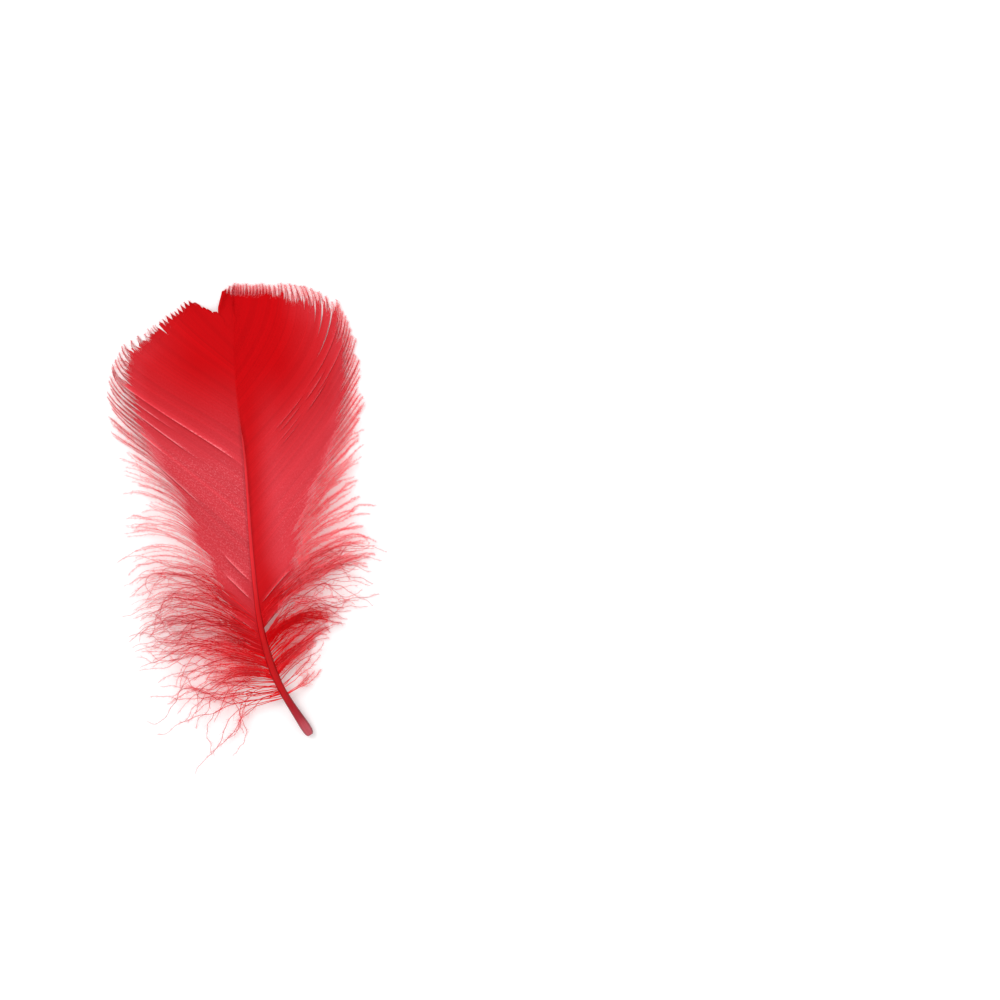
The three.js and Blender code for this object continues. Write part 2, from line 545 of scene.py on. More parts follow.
@dataclass
class BarbPlan:
    """Sets out barbs of one side from the shaft and the guide barbs."""

    line: ShaftLine
    side: Side
    guides: tuple[GuideBarb, ...]
    aside: float = 0.5  # of the shaft's radius, from its line to the roots
    crossing: float = 1.3  # of the radius, by which the roots near the tip lie further in
    crossing_at: Span = (64.0, 76.0)
    flat_from: float = 0.86  # share of a barb past which it lies on the sheet
    droop: float = 1.7  # how late along a barb the dome falls away

    def guide(self, name: str, root: Array) -> Array:
        """Gives a guide value for barbs at the given roots.

        Args:
            name: The guide's field.
            root: Roots of the barbs.

        Returns:
            The values, between those of the guides on either side.
        """
        return np.interp(root, [g.root for g in self.guides], [getattr(g, name) for g in self.guides])

    def heading(self, root: Array, share: Array) -> Array:
        """Gives headings in degrees from +Y outwards.

        Args:
            root: Roots of the barbs.
            share: Shares along the barbs.

        Returns:
            One row of headings for each barb.
        """
        share = np.minimum(share, 1.0)
        leave, middle, end = (self.guide(name, root)[:, None] for name in ("leave", "middle", "end"))
        first = leave * (2 * share - 1) * (share - 1)
        return first + middle * 4 * share * (1 - share) + end * share * (2 * share - 1)

    def walk(self, root: Array, length: Array, share: Array, heading: Array) -> Array:
        """Walks each barb out from the shaft.

        Args:
            root: Roots of the barbs.
            length: Their lengths.
            share: Shares of the length at the stations of each barb.
            heading: A row of headings in degrees for each barb.

        Returns:
            Points for each barb, level with its root.
        """
        sign = self.side.value
        turn = np.radians(heading)
        way = np.stack([sign * np.sin(turn), np.cos(turn), np.zeros_like(turn)], axis=-1)
        step = (np.diff(share, axis=1) * length[:, None])[..., None]
        moves = np.concatenate([np.zeros_like(way[:, :1]), (way[:, 1:] + way[:, :-1]) / 2 * step], axis=1)
        off = self.line.radius(root) * (self.aside - self.crossing * ease(*self.crossing_at, root))
        start = self.line.point(root) + sign * self.line.right(root) * off[:, None]
        return start[:, None, :] + np.cumsum(moves, axis=1)

    def camber(self, root: Array, share: Array) -> Array:
        """Gives the height of the feather's dome.

        Args:
            root: Roots of the barbs.
            share: Shares along the barbs.

        Returns:
            Heights above the sheet, level at the outer ends.
        """
        top = self.line.point(root)[:, 2][:, None]
        return top * (1.0 - np.clip(share / self.flat_from, 0.0, 1.0) ** self.droop)


def strand_values(dye_and_sheen: Array, tone: Array, along: Array, across: Array) -> Array:
    """Stacks the named values of strands, in the order of Strands.names."""
    return np.stack(np.broadcast_arrays(dye_and_sheen, tone, along, across), axis=-1)


@dataclass
class Strands:
    """Thin closed tubes and spikes gathered into one mesh, with values at their points.

    There are tens of thousands of them, so they are written as arrays.
    """

    names: ClassVar[tuple[str, ...]] = ("dye_and_sheen", "tone", "along", "across")
    clear: float = 0.25  # height below which strands are pressed flat
    deepest: float = -2.5  # what is pressed all the way
    pressed: float = 0.025  # height of what is pressed all the way
    barbule_radius: float = 0.021
    barbule_lean: Span = (28.0, 66.0)
    barbule_roll: float = 0.7
    barbule_taper: float = 0.7
    points: list[Array] = field(default_factory=list)
    faces: list[Array] = field(default_factory=list)
    values: list[Array] = field(default_factory=list)
    count: int = 0

    def _keep(self, points: Array, faces: list[Array], values: Array) -> None:
        """Adds points with their faces and values.

        Args:
            points: The points.
            faces: Faces of three or more corners, numbered within the points.
            values: The named values at the points.
        """
        self.points.append(points)
        self.faces.extend(part + self.count for part in faces)
        self.values.append(values)
        self.count += len(points)

    def add_tubes(
        self,
        path: Array,
        wide: Array,
        high: Array,
        tilt: Array,
        sides: int,
        values: Array,
        kept: slice = slice(None),
    ) -> None:
        """Adds a tapering tube along each path.

        Args:
            path: Points of each strand.
            wide: Half widths at the points.
            high: Half heights at the points.
            tilt: How far the left edge stands above the right one, halved.
            sides: Corners of the tube's section.
            values: The named values at the points.
            kept: The stations that the tubes run over.
        """
        path, wide, high, tilt, values = (part[:, kept] for part in (path, wide, high, tilt, values))
        many, long = path.shape[:2]
        right, rise = beside(unit(np.gradient(path, axis=1)))
        turn = np.arange(sides) / sides * 2 * math.pi
        across, above = -np.cos(turn), np.sin(turn)
        ring = (
            path[:, :, None, :]
            + right[:, :, None, :] * (wide[:, :, None] * across)[..., None]
            + rise[:, :, None, :] * (high[:, :, None] * above - tilt[:, :, None] * across)[..., None]
        )
        number = np.arange(many * long * sides).reshape(many, long, sides)
        after = np.roll(number, -1, axis=2)
        walls = np.stack([number[:, :-1], after[:, :-1], after[:, 1:], number[:, 1:]], axis=-1)
        spread = np.repeat(values[:, :, None, :], sides, axis=2)
        spread[..., 3] += wide[:, :, None] * across
        self._keep(
            ring.reshape(-1, 3),
            [walls.reshape(-1, 4), number[:, 0, ::-1], number[:, -1]],
            spread.reshape(-1, len(self.names)),
        )

    def add_spikes(self, base: Array, way: Array, length: Array, values: Array) -> None:
        """Adds a three-sided spike at each base point.

        Args:
            base: Where the spikes grow.
            way: Their unit directions.
            length: Their lengths.
            values: The named values of each spike.
        """
        right, rise = beside(way, NEARLY_UP)
        turn = np.arange(3) / 3 * 2 * math.pi
        across, above = self.barbule_radius * -np.cos(turn), self.barbule_radius * np.sin(turn)
        ring = (
            base[:, None, :]
            + right[:, None, :] * across[None, :, None]
            + rise[:, None, :] * above[None, :, None]
        )
        points = np.concatenate([ring, (base + way * length[:, None])[:, None, :]], axis=1)
        number = np.arange(len(base) * 4).reshape(-1, 4)
        faces = [number[:, order] for order in ([0, 1, 3], [1, 2, 3], [2, 0, 3], [2, 1, 0])]
        self._keep(points.reshape(-1, 3), faces, np.repeat(values, 4, axis=0))

    def add_barbules(
        self,
        path: Array,
        row: Array,
        share: Array,
        lengths: Span,
        dye_and_sheen: Array,
        tone: Array,
        rng: np.random.Generator,
    ) -> None:
        """Grows barbules along barbs, pointing outwards on both sides of them.

        Args:
            path: The barbs' points.
            row: The barb of each barbule.
            share: How far along its stations each barbule grows.
            lengths: The shortest and longest barbule.
            dye_and_sheen: How rosy each barbule is.
            tone: How bright each barbule is.
            rng: Random numbers.
        """
        many, last = len(row), path.shape[1] - 1
        low = np.clip(np.floor(share * last).astype(int), 0, last - 1)
        part = (share * last - low)[:, None]
        base = path[row, low] * (1 - part) + path[row, low + 1] * part
        way = unit(path[row, low + 1] - path[row, low])
        right, rise = beside(way)
        turn = rng.uniform(-self.barbule_roll, self.barbule_roll, many)
        turn = turn + rng.integers(0, 2, many) * math.pi
        lean = np.radians(rng.uniform(*self.barbule_lean, many))
        out = right * np.cos(turn)[:, None] + rise * np.sin(turn)[:, None]
        grow = way * np.cos(lean)[:, None] + out * np.sin(lean)[:, None]
        length = rng.uniform(*lengths, many) * (1 - self.barbule_taper * share)
        values = strand_values(dye_and_sheen, tone + rng.normal(0, 0.08, many), share * 30, row * 1.0)
        self.add_spikes(base, grow, length, values)

    def piece(self, name: str, material: bpy.types.Material) -> bpy.types.Object:
        """Makes the gathered strands one object.

        Args:
            name: The object's name.
            material: Its material.

        Returns:
            The object, with its place in its mesh.
        """
        points = np.vstack(self.points) * MM
        sunk = points[:, 2] < self.clear * MM
        heights = (self.deepest, self.clear), (self.pressed, self.clear)
        points[sunk, 2] = np.interp(points[sunk, 2] / MM, *heights) * MM
        sizes = np.concatenate([np.full(len(part), part.shape[1]) for part in self.faces])
        starts = np.concatenate([[0], np.cumsum(sizes)[:-1]])
        corners = np.concatenate([part.ravel() for part in self.faces])
        mesh = bpy.data.meshes.new(name)
        mesh.vertices.add(len(points))
        mesh.vertices.foreach_set("co", points.astype(np.float32).ravel())
        mesh.loops.add(len(corners))
        mesh.loops.foreach_set("vertex_index", corners.astype(np.int32))
        mesh.polygons.add(len(sizes))
        mesh.polygons.foreach_set("loop_start", starts.astype(np.int32))
        mesh.polygons.foreach_set("use_smooth", np.zeros(len(sizes), dtype=bool))
        table = np.vstack(self.values).astype(np.float32)
        for column, label in zip(table.T, self.names):
            layer = mesh.attributes.new(label, "FLOAT", "POINT")
            layer.data.foreach_set("value", np.ascontiguousarray(column))
        mesh.update(calc_edges=True)
        mesh.validate()
        mesh.materials.append(material)
        return add_object(name, mesh)


def waves(rng: np.random.Generator, many: int, share: Array, degrees: float) -> Array:
    """Gives smooth random turns along strands.

    Args:
        rng: Random numbers.
        many: How many strands.
        share: Shares along them, one row for all.
        degrees: How far they turn.

    Returns:
        Degrees for each strand and share.
    """
    total = np.zeros((many, share.shape[-1]))
    for cycles in (1.1, 2.4, 5.0, 8.5):
        phase = rng.uniform(0, 2 * math.pi, (many, 1))
        size = rng.normal(0, degrees / cycles**0.4, (many, 1))
        total += size * np.sin(2 * math.pi * cycles * share + phase)
    return total


def gathered(path: Array, group: Array, pull: Array) -> Array:
    """Draws the strands of each group towards their middle.

    Args:
        path: Points of the strands.
        group: The group of each strand.
        pull: How far each point is drawn, from 0 to 1.

    Returns:
        The moved points.
    """
    total = np.zeros((group.max() + 1, *path.shape[1:]))
    np.add.at(total, group, path)
    middle = total / np.maximum(np.bincount(group), 1)[:, None, None]
    return path + (middle[group] - path) * pull[..., None]


def random_groups(rng: np.random.Generator, many: int, sizes: tuple[int, int]) -> Array:
    """Parts strands into neighbouring groups of uneven size.

    Args:
        rng: Random numbers.
        many: How many strands.
        sizes: The smallest and largest group.

    Returns:
        The group of each strand.
    """
    counts = rng.integers(sizes[0], sizes[1] + 1, many)
    return np.repeat(np.arange(many), counts)[:many]


@dataclass(frozen=True)
class Slit:
    """A parting between neighbouring barbs.

    It has a root, the share along the barbs where it starts, a width, the lift of its upper lip, the
    share where it ends, and how far along the shaft that lip reaches.
    """

    root: float
    start: float
    width: float
    lift: float
    end: float = 2.0
    lip: float = 0.4


@dataclass(frozen=True)
class Curl:
    """How loose ends curl at one root: a bow along them and a turn at their ends, in degrees."""

    root: float
    bow: float
    turn: float


@dataclass(frozen=True)
class Bite:
    """The notch beside the tip, where barbs are shorter from its first root to its last."""

    root_from: float = 87.2
    root_to: float = 90.6
    depth: float = 5.8
    tip_lock: int = 8  # barbs in a group between the notch and the tip
    kink_until: Span = (94.4, 92.4)  # roots over which the sharp turn above the notch fades out
    kink_at: Span = (0.36, 0.6)  # shares along a barb over which it turns

    def cut(self, root: Array) -> Array:
        """Gives how much shorter barbs are at the given roots."""
        share = np.clip((root - self.root_from) / (self.root_to - self.root_from), 0, 1)
        return np.where(root < self.root_to, self.depth * share, 0.0)


@dataclass
class VaneBarbs:
    """The barbs of one vane: a row for each barb, and a column for each station along it.

    Stations count from the web's margin. Loose is the share along the loose end, low is 1 where loose
    ends are downy, and crown is 1 round the tip.
    """

    root: Array
    group: Array
    length: Array
    share: Array
    station: Array
    loose: Array
    low: Array
    crown: Array

    @property
    def along(self) -> Array:
        """Distances along the barbs at their stations."""
        return self.length[:, None] * self.share

    def values(self, dye_and_sheen: Array, tone: Array) -> Array:
        """Gives the named values at the stations, with the given dye and tone."""
        return strand_values(dye_and_sheen, tone, self.along, self.root[:, None])


@dataclass
class Vane:
    """The webbed barbs of one side, and the loose fringe past the web.

    Neighbouring barbs lie in groups, whose loose ends are drawn together into teeth and locks.
    """

    plan: BarbPlan
    web_finish: BarbFinish
    fringe_finish: BarbFinish
    slits: tuple[Slit, ...]
    curls: tuple[Curl, ...]
    seed: int
    root_from: float
    locks: tuple[int, int]  # fewest and most barbs in a group
    teeth: float  # how tightly groups are drawn round the crown
    # The web's brightness is painted light, for how the lamp falls on its side
    light: float  # brightness of the web
    # The rose is partly dye and partly painted sheen; the outer web's is painted light where it thins
    rosy: float  # how rosy its lower half is
    rosy_near: float  # share of that beside the shaft
    rosy_until: float  # distance from the shaft that has all of it
    rosy_edge: float  # what the outer web has besides
    fluff: float  # length that bears barbules, against the usual
    crown_locks: tuple[int, int] | None = None
    bite: Bite | None = None
    barbs: int = 264
    web_stations: int = 27
    free_stations: int = 22
    web_overrun: int = 20  # stations past the margin that flat barbs keep
    fringe_from: float = 24.0
    root_to: float = 97.6
    crowd: float = 1.12  # how much the roots crowd towards the quill
    small_from: float = 76.0  # root past which groups have the crown's size
    ragged_at: Span = (62.0, 36.0)  # roots over which the margin turns ragged
    rough_at: Span = (80.0, 68.0)  # and rough
    downy_at: Span = (54.0, 32.0)  # and the loose ends downy
    crown_at: Span = (74.0, 84.0)
    open_at: Span = (76.0, 66.0)  # roots over which the rachis comes out from under the barbs
    wave: float = 20.0
    clearance: float = 0.2
    overlap: float = 0.57  # half width of a flat barb, against the space between barbs
    thinnest: float = 0.02
    filament: float = 0.052
    barbules_per_mm: float = 17.0
    barbule_lengths: Span = (0.8, 2.4)
    # Painted shade in the crease along the rachis
    groove_shade: float = 0.5  # width of the shade along the rachis
    slit_reach: float = 1.2  # how far along the shaft a slit pushes barbs
    # Painted shadow on the barbs below a slit's lip reaches this far along the shaft
    slit_shade: float = 0.35  # and shades those below it

    @property
    def margin(self) -> int:
        """The station at the web's margin."""
        return self.web_stations - 1

    def build(self) -> tuple[bpy.types.Object, bpy.types.Object]:
        """Builds the webbed barbs, and their loose ends with barbules.

        Returns:
            The web and the fringe.
        """
        rng = np.random.default_rng(self.seed)
        barbs = self._set_out(rng)
        path = self.plan.walk(barbs.root, barbs.length, barbs.share, self._headings(barbs, rng))
        spacing = self._spacing(path)
        path = self._settle(barbs, path, rng)
        path, lip_light_and_shade = self._part(barbs, path)
        web = self._web(barbs, path, spacing, lip_light_and_shade, rng)
        return web, self._fringe(barbs, path, rng)

    def _set_out(self, rng: np.random.Generator) -> VaneBarbs:
        """Gives the barbs their roots, groups and stations.

        Args:
            rng: The vane's random numbers.

        Returns:
            The barbs.
        """
        number = np.arange(self.barbs)
        spread = np.linspace(0, 1, self.barbs) ** self.crowd
        root = self.root_from + (self.root_to - self.root_from) * spread
        group = random_groups(rng, self.barbs, self.locks)
        if self.crown_locks:
            small = 2 * self.barbs + random_groups(rng, self.barbs, self.crown_locks)
            group = np.where(root > self.small_from, small, group)
        if self.bite:
            group = np.where(root > self.bite.root_to, self.barbs + number // self.bite.tip_lock, group)
        group = np.unique(group, return_inverse=True)[1]
        share = self._shares(root, group, rng)
        station = np.arange(share.shape[1]) - self.margin
        return VaneBarbs(
            root=root,
            group=group,
            length=self.plan.guide("length", root),
            share=share,
            station=station,
            loose=np.clip(station / self.free_stations, 0, 1)[None, :],
            low=ease(*self.downy_at, root)[:, None],
            crown=ease(*self.crown_at, root)[:, None],
        )

    def _shares(self, root: Array, group: Array, rng: np.random.Generator) -> Array:
        """Gives each barb's stations, so that the web's margin and the fringe are uneven.

        Args:
            root: Roots of the barbs.
            group: The group of each barb.
            rng: The vane's random numbers.

        Returns:
            A row of shares for each barb.
        """
        web = self.plan.guide("web", root)
        ragged = ease(*self.ragged_at, root)
        rough = ease(*self.rough_at, root)
        # The margin is uneven by groups and by single barbs, and so are the loose ends' lengths
        web = web + rng.normal(0, 1, self.barbs)[group] * (0.01 + 0.012 * rough + 0.02 * ragged)
        web = web + rng.normal(0, 1, self.barbs) * (0.006 + 0.012 * rough)
        reach = 1 + (1 - web) * (0.15 - rng.uniform(0, 0.5 + 0.3 * ragged, self.barbs))
        if self.bite:
            reach = reach - self.bite.cut(root) / self.plan.guide("length", root)
            web = np.minimum(web, reach - 0.03)
        inner = np.linspace(0, 1, self.web_stations)[None, :] * web[:, None]
        outer = np.linspace(0, 1, self.free_stations + 1)[None, 1:]
        return np.hstack([inner, web[:, None] + outer * (reach - web)[:, None]])

    def _headings(self, barbs: VaneBarbs, rng: np.random.Generator) -> Array:
        """Gives the barbs' headings, with curl and disorder in their loose ends.

        Args:
            barbs: The barbs.
            rng: The vane's random numbers.

        Returns:
            Degrees at every station.
        """
        root, loose, low = barbs.root, barbs.loose, barbs.low
        where, bow, swing = np.array([astuple(curl) for curl in self.curls]).T
        curl = np.interp(root, where, bow)[:, None] * np.sin(math.pi * loose**0.7)
        curl = curl + np.interp(root, where, swing)[:, None] * loose**1.5
        # Groups and single barbs stray a few degrees, and more where they are downy
        turn = rng.normal(0, 1, self.barbs)[barbs.group][:, None] * (1.5 + 3 * low**2)
        turn = turn + rng.normal(0, 1, (self.barbs, 1)) * (1 + 9 * low**2)
        bend = waves(rng, self.barbs, loose, self.wave) * low
        plain = self.plan.heading(root, barbs.share)
        return plain + self._kink(barbs, plain) + curl + (turn + bend) * loose

    def _kink(self, barbs: VaneBarbs, plain: Array) -> Array:
        """Turns the barbs along the upper edge of the bite more sharply.

        Args:
            barbs: The barbs.
            plain: Their headings without the turn.

        Returns:
            Degrees to add to their headings.
        """
        if not self.bite:
            return np.zeros_like(plain)
        part = ((barbs.root > self.bite.root_to) * ease(*self.bite.kink_until, barbs.root))[:, None]
        leave, end = (self.plan.guide(name, barbs.root)[:, None] for name in ("leave", "end"))
        sharp = leave + (end - leave) * ease(*self.bite.kink_at, barbs.share)
        return part * (sharp - plain)

    def _spacing(self, path: Array) -> Array:
        """Gives the distance between neighbouring barbs, square to them.

        Args:
            path: The barbs' points.

        Returns:
            The distance at every point.
        """
        way = unit(np.gradient(path[..., :2], axis=1))
        gap = path[1:, :, :2] - path[:-1, :, :2]
        wide = np.abs(gap[..., 0] * way[:-1, :, 1] - gap[..., 1] * way[:-1, :, 0])
        wide = np.concatenate([wide[:1], wide, wide[-1:]])
        return np.clip((wide[1:] + wide[:-1]) / 2, 0.0, 0.9)

    def _settle(self, barbs: VaneBarbs, path: Array, rng: np.random.Generator) -> Array:
        """Draws the loose ends of each group together, and gives the barbs their height.

        Args:
            barbs: The barbs.
            path: Their points.
            rng: The vane's random numbers.

        Returns:
            The moved points.
        """
        root, share, low, crown = barbs.root, barbs.share, barbs.low, barbs.crown
        drawn = np.clip((barbs.station + 3 * low) / self.free_stations, 0, 1)
        pull = 0.95 - 0.5 * low - (1 - self.teeth) * crown
        path = gathered(path, barbs.group, pull * drawn ** (0.6 + 0.25 * crown))
        # Near the tip the barbs' inner ends rise over the thin rachis
        over = self.plan.line.radius(root) * 1.5 * ease(*reversed(self.open_at), root)
        over = over[:, None] * ease(0.2, 0.0, share)
        path[..., 2] = self.plan.camber(root, share) + self.clearance + over
        path[..., 2] += barbs.loose * rng.uniform(-0.1, 0.7, (self.barbs, 1)) * (1 + 3 * low)
        return path

    def _part(self, barbs: VaneBarbs, path: Array) -> tuple[Array, Array]:
        """Parts the barbs at the slits.

        Args:
            barbs: The barbs.
            path: Their points.

        Returns:
            The moved points, and each point's painted highlight on a raised lip, or below 0 painted
            shadow.
        """
        over = np.cross(unit(np.gradient(path, axis=1)), UP) * -self.plan.side.value
        lip_light_and_shade = np.zeros(path.shape[:2])
        for slit in self.slits:
            off = barbs.root - slit.root
            grow = min(0.2, (slit.end - slit.start) / 3)
            opened = ease(slit.start, slit.start + grow, barbs.share)
            opened = opened * ease(slit.end, slit.end - grow, barbs.share)
            push = np.sign(off) * np.exp(-np.abs(off) / self.slit_reach) * slit.width / 2
            path = path + over * (push[:, None] * opened)[..., None]
            # Raised lips get a painted highlight, and the barbs below them painted shadow
            lip = np.where(off > 0, np.exp(-off / slit.lip), -np.exp(off / self.slit_shade))
            lip = lip[:, None] * opened
            path[..., 2] += np.maximum(lip, 0.0) * slit.lift
            lip_light_and_shade = lip_light_and_shade + lip * min(1.0, slit.lift * 2)
        return path, np.clip(lip_light_and_shade, -1.0, 1.0)

    def _dye_and_sheen(self, path: Array) -> Array:
        """Gives how rosy the web is, from crimson at the tip to rose in its lower half.

        The rose is partly dye and partly painted sheen and light coming through the thin web.

        Args:
            path: The barbs' points.

        Returns:
            Rosiness at every point.
        """
        # Rose, partly dye and partly painted sheen, sets in below the middle and fades towards the down.
        # Out is measured from the shaft's course, and the outer web gets painted light where it thins
        x, y = path[..., 0], path[..., 1]
        low = ease(36.0, 2.0, y) * (0.3 + 0.7 * ease(-26.0, -4.0, y))
        out = np.abs(x - np.interp(y, [-47, -8, 50], [13.6, 1.8, -2.6]))
        near = self.rosy_near + (1 - self.rosy_near) * ease(1.0, self.rosy_until, out)
        return np.clip(self.rosy * low * near + self.rosy_edge * ease(8.0, 22.0, out), 0, 0.75)

    def _web(
        self, barbs: VaneBarbs, path: Array, spacing: Array, lip_light_and_shade: Array, rng: np.random.Generator
    ) -> bpy.types.Object:
        """Builds the closed web, of flat barbs that overlap their neighbours.

        Args:
            barbs: The barbs.
            path: Their points.
            spacing: The distance between them at every point.
            lip_light_and_shade: Each point's painted highlight on a slit's lip, or below 0 its painted
                shadow.
            rng: The vane's random numbers.

        Returns:
            The web.
        """
        root, share, low = barbs.root, barbs.share, barbs.low
        # Barbs and groups differ a little, and the web's brightness is painted light for its side;
        # slits' lips get painted highlight or shadow, and painted shade runs along the rachis
        tone = self.light + rng.normal(0, 0.02, (self.barbs, 1))
        tone = tone + rng.normal(0, 0.025, self.barbs)[barbs.group][:, None]
        groove_shade = ease(self.groove_shade, 0.0, barbs.along) * ease(*self.open_at, root)[:, None]
        tone = tone + np.where(lip_light_and_shade > 0, 0.2, 0.35) * lip_light_and_shade - 0.3 * groove_shade
        # Painted light makes the web rosier at its thin margin, with a painted highlight on raised lips;
        # the dye is deeper on the lowest barbs
        inner = np.clip(share / share[:, self.margin, None], 0, 1)
        edge = 0.25 * ease(0.78, 1.0, inner) * ease(80.0, 66.0, root)[:, None]
        fresh = (0.2 + 0.8 * ease(20.0, 32.0, root))[:, None]
        dye_and_sheen = np.clip((self._dye_and_sheen(path) + edge) * fresh + 0.45 * np.maximum(lip_light_and_shade, 0.0), 0, 1)
        # Barbs cover the space between them, and taper past the margin, evenly round the crown
        cover = spacing * self.overlap * (1 - 0.4 * low * ease(0.7, 1.0, inner))
        soft = ease(6.0, -3.0, barbs.station)
        toothed = 1.0 - np.clip(barbs.station / 21.0, 0, 1) ** 0.9
        wide = np.maximum(cover * (soft + (toothed - soft) * barbs.crown), self.thinnest)
        flat = 0.03 + 0.02 * low + np.zeros_like(wide)
        kept = slice(0, self.web_stations + self.web_overrun)
        strands = Strands()
        strands.add_tubes(path, wide, flat, 0.6 * flat, 4, barbs.values(dye_and_sheen, tone), kept)
        return strands.piece(self.plan.side.name.lower() + "_vane_web", self.web_finish.material())

    def _fringe(self, barbs: VaneBarbs, path: Array, rng: np.random.Generator) -> bpy.types.Object:
        """Builds the loose ends of the barbs, with barbules.

        Args:
            barbs: The barbs.
            path: Their points.
            rng: The vane's random numbers.

        Returns:
            The fringe.
        """
        low, loose = barbs.low, barbs.loose
        dye_and_sheen = np.clip(0.05 + 0.3 * low * (0.4 + 0.6 * loose), 0, 1)
        # The loose ends are darker as painted shade, least where they are downy
        tone = 0.66 + 0.24 * low + rng.normal(0, 0.06, (self.barbs, 1))
        free = barbs.length * (barbs.share[:, -1] - barbs.share[:, self.margin])
        free = free * (0.3 + 0.45 * low[:, 0]) * self.fluff
        kept = barbs.root > self.fringe_from
        path, free, values = path[kept], free[kept], barbs.values(dye_and_sheen, tone)[kept]
        wide = self.filament * (1 - 0.85 * loose) * ease(-3.0, 3.0, barbs.station)
        wide = wide + np.full(path.shape[:2], 0.005)
        ends = slice(self.margin - 2, None)
        strands = Strands()
        strands.add_tubes(path, wide, wide, np.zeros_like(wide), 3, values, ends)
        row = np.repeat(np.arange(len(path)), np.round(free * self.barbules_per_mm).astype(int))
        inner = (self.margin - 1) / (path.shape[1] - 1)
        share = inner + (1 - inner) * rng.uniform(0.0, 0.97, len(row))
        pale, bright = np.full(len(row), 0.8), np.ones(len(row))
        strands.add_barbules(path, row, share, self.barbule_lengths, pale, bright, rng)
        return strands.piece(self.plan.side.name.lower() + "_vane_fringe", self.fringe_finish.material())


@dataclass(frozen=True)
class Tuft:
    """A further lock of down.

    It has a middle root, a width along the shaft, a number of barbs, how tightly they are drawn together,
    the share of the usual length, and the turn at the ends in degrees.
    """

    root: float
    width: float
    barbs: int
    pull: float
    length: float = 1.0
    turn: float = 0.0


@dataclass
class DownBarbs:
    """The downy barbs of one side, with a row for each.

    Pull is how tightly a barb is drawn to its lock, turn is in degrees at its end, and calm is low where
    it waves less.
    """

    root: Array
    lock: Array
    pull: Array
    turn: Array
    length: Array
    calm: Array
    share: Array


